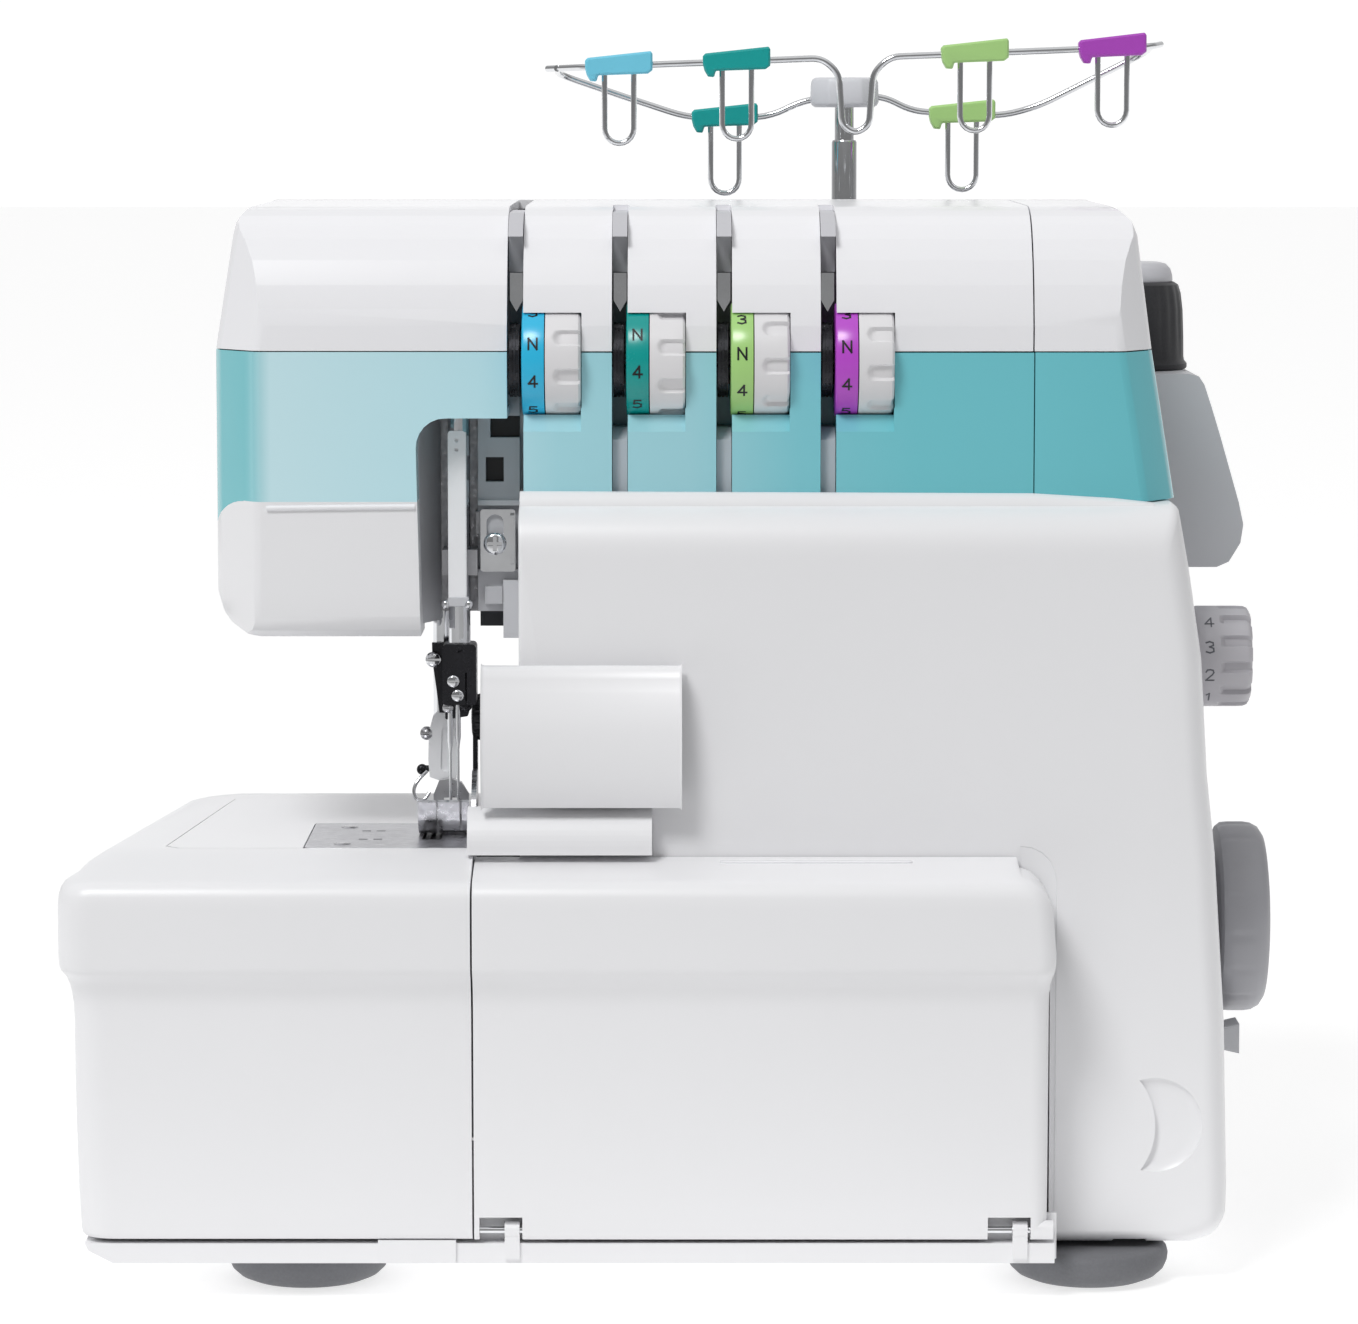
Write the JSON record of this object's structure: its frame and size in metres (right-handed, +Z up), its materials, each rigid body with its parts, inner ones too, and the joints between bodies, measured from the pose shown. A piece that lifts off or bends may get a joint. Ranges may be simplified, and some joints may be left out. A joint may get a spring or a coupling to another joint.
{
  "type": "overlock sewing machine",
  "caption": "Domestic overlocker with free arm, loopers, tension dials, spool stand and telescopic thread guide",
  "frame": {"origin": "centre of the bounding box's footprint, on the table under the feet", "axes": "+X to the operator's right, +Y towards the back of the machine, +Z up; the operator faces the -Y side"},
  "size_m": [0.3336, 0.238, 0.3424],
  "materials": {
    "white_plastic": "semi-gloss moulded ABS",
    "turquoise_plastic": "glossy moulded plastic",
    "cast_frame": "die-cast, satin",
    "rubber": "matt",
    "steel": "ground",
    "chrome": "polished plate",
    "black_metal": "black oxide",
    "motor_metal": "painted",
    "black_plastic": "fine texture",
    "grey_plastic": "satin",
    "charcoal_plastic": "matt, soft",
    "blue_plastic": "gloss",
    "teal_plastic": "gloss",
    "green_plastic": "gloss",
    "purple_plastic": "gloss"
  },
  "bodies": {
    "machine": {"base_tray": "white_plastic", "front_casing": "white_plastic", "rear_cover": "white_plastic", "top_cover": "white_plastic", "tension_fascia": "turquoise_plastic", "right_cap": "turquoise_plastic", "face_cover": "white_plastic", "cast_frame": "cast_frame", "foot_1": "rubber", "foot_2": "rubber", "foot_3": "rubber", "foot_4": "rubber", "needle_plate": "steel", "waste_chute": "white_plastic", "thread_rail": "chrome", "needle_thread_guide": "chrome", "tension_discs": "black_metal", "motor": "motor_metal", "power_inlet": "black_plastic", "spool_stand": "grey_plastic", "cone_holder_1": "charcoal_plastic", "cone_holder_2": "charcoal_plastic", "cone_holder_3": "charcoal_plastic", "cone_holder_4": "charcoal_plastic", "pole_base": "chrome"},
    "table": {"extension_table": "white_plastic"},
    "cover_rod": {"cover_hinge_rod": "chrome"},
    "cover": {"looper_cover": "white_plastic"},
    "guard": {"knife_guard": "white_plastic"},
    "dial_1": {"tension_dial_1": "blue_plastic"},
    "dial_2": {"tension_dial_2": "teal_plastic"},
    "dial_3": {"tension_dial_3": "green_plastic"},
    "dial_4": {"tension_dial_4": "purple_plastic"},
    "stitch_dial": {"stitch_length_dial": "grey_plastic"},
    "feed_control": {"feed_lever": "grey_plastic"},
    "rocker": {"power_rocker": "black_plastic"},
    "wheel": {"handwheel": "grey_plastic", "main_shaft": "steel"},
    "motor_rotor": {"motor_pulley": "steel"},
    "needles": {"needle_bar": "chrome", "needle_clamp": "black_metal", "needle_left": "steel", "needle_right": "steel"},
    "lifter": {"lifter_lever": "black_plastic"},
    "presser": {"presser_bar": "chrome"},
    "foot": {"presser_foot": "chrome"},
    "knife": {"upper_knife": "steel", "knife_knob": "black_plastic"},
    "lower_looper": {"lower_looper": "steel"},
    "upper_looper": {"upper_looper": "steel"},
    "feed": {"feed_dog": "steel"},
    "pole_mid": {"pole_mid": "chrome"},
    "thread_guide": {"pole_top": "grey_plastic", "wire_frame": "chrome", "thread_clip_1": "blue_plastic", "thread_clip_2": "teal_plastic", "thread_clip_3": "green_plastic", "thread_clip_4": "purple_plastic", "thread_clip_5": "teal_plastic", "thread_clip_6": "green_plastic"}
  },
  "joints": [
    {"name": "table_slide", "type": "slide", "parent": "machine", "child": "table", "axis": [-1, 0, 0], "range_m": [0, 0.11]},
    {"name": "cover_slide", "type": "slide", "parent": "machine", "child": "cover_rod", "axis": [1, 0, 0], "range_m": [0, 0.006]},
    {"name": "cover_hinge", "type": "hinge", "parent": "cover_rod", "child": "cover", "pos_m": [0.0198, -0.1086, 0.0196], "axis": [1, 0, 0], "range_deg": [0, 90]},
    {"name": "guard_hinge", "type": "hinge", "parent": "machine", "child": "guard", "pos_m": [-0.0262, -0.0945, 0.168], "axis": [-1, 0, 0], "range_deg": [0, 75]},
    {"name": "tension_1", "type": "hinge", "parent": "machine", "child": "dial_1", "pos_m": [-0.0349, -0.069, 0.2524], "axis": [1, 0, 0], "range_deg": [-150, 150]},
    {"name": "tension_2", "type": "hinge", "parent": "machine", "child": "dial_2", "pos_m": [-0.0066, -0.069, 0.2524], "axis": [1, 0, 0], "range_deg": [-150, 150]},
    {"name": "tension_3", "type": "hinge", "parent": "machine", "child": "dial_3", "pos_m": [0.0217, -0.069, 0.2524], "axis": [1, 0, 0], "range_deg": [-150, 150]},
    {"name": "tension_4", "type": "hinge", "parent": "machine", "child": "dial_4", "pos_m": [0.05, -0.069, 0.2524], "axis": [1, 0, 0], "range_deg": [-150, 150]},
    {"name": "stitch_length", "type": "hinge", "parent": "machine", "child": "stitch_dial", "pos_m": [0.1518, -0.029, 0.1668], "axis": [1, 0, 0], "range_deg": [-120, 120]},
    {"name": "differential_feed", "type": "hinge", "parent": "machine", "child": "feed_control", "pos_m": [0.1178, -0.0388, 0.06], "axis": [0, 1, 0], "range_deg": [-5, 10]},
    {"name": "power_switch", "type": "hinge", "parent": "machine", "child": "rocker", "pos_m": [0.1463, 0.02, 0.035], "axis": [0, 1, 0], "range_deg": [-6, 6]},
    {"name": "handwheel_spin", "type": "hinge", "parent": "machine", "child": "wheel", "pos_m": [0.1498, -0.019, 0.091], "axis": [1, 0, 0], "continuous": true},
    {"name": "motor_spin", "type": "hinge", "parent": "machine", "child": "motor_rotor", "pos_m": [0.1358, 0.005, 0.05], "axis": [1, 0, 0], "continuous": true},
    {"name": "needle_stroke", "type": "slide", "parent": "machine", "child": "needles", "axis": [0, 0, 1], "range_m": [-0.014, 0.01]},
    {"name": "lifter", "type": "hinge", "parent": "machine", "child": "lifter", "pos_m": [-0.0902, 0.001, 0.195], "axis": [1, 0, 0], "range_deg": [0, 15]},
    {"name": "presser_lift", "type": "slide", "parent": "machine", "child": "presser", "axis": [0, 0, 1], "range_m": [0, 0.006]},
    {"name": "foot_tilt", "type": "hinge", "parent": "presser", "child": "foot", "pos_m": [-0.0659, -0.048, 0.136], "axis": [-1, 0, 0], "range_deg": [0, 10]},
    {"name": "knife_retract", "type": "hinge", "parent": "machine", "child": "knife", "pos_m": [-0.0502, -0.0455, 0.1515], "axis": [1, 0, 0], "range_deg": [0, 30]},
    {"name": "lower_looper_swing", "type": "hinge", "parent": "machine", "child": "lower_looper", "pos_m": [-0.0122, -0.0525, 0.066], "axis": [0, 1, 0], "range_deg": [-8, 8]},
    {"name": "upper_looper_swing", "type": "hinge", "parent": "machine", "child": "upper_looper", "pos_m": [0.0118, -0.0635, 0.074], "axis": [0, 1, 0], "range_deg": [-10, 10]},
    {"name": "feed_stroke", "type": "slide", "parent": "machine", "child": "feed", "axis": [0, 1, 0], "range_m": [-0.003, 0.003]},
    {"name": "pole_lower", "type": "slide", "parent": "machine", "child": "pole_mid", "axis": [0, 0, 1], "range_m": [0, 0.07]},
    {"name": "pole_upper", "type": "slide", "parent": "pole_mid", "child": "thread_guide", "axis": [0, 0, 1], "range_m": [0, 0.08]}
  ],
  "couplings": [
    {"joint": "motor_spin", "follows": "handwheel_spin", "ratio": 2.6667},
    {"joint": "lifter", "follows": "presser_lift", "rad_per_m": 43.6}
  ]
}
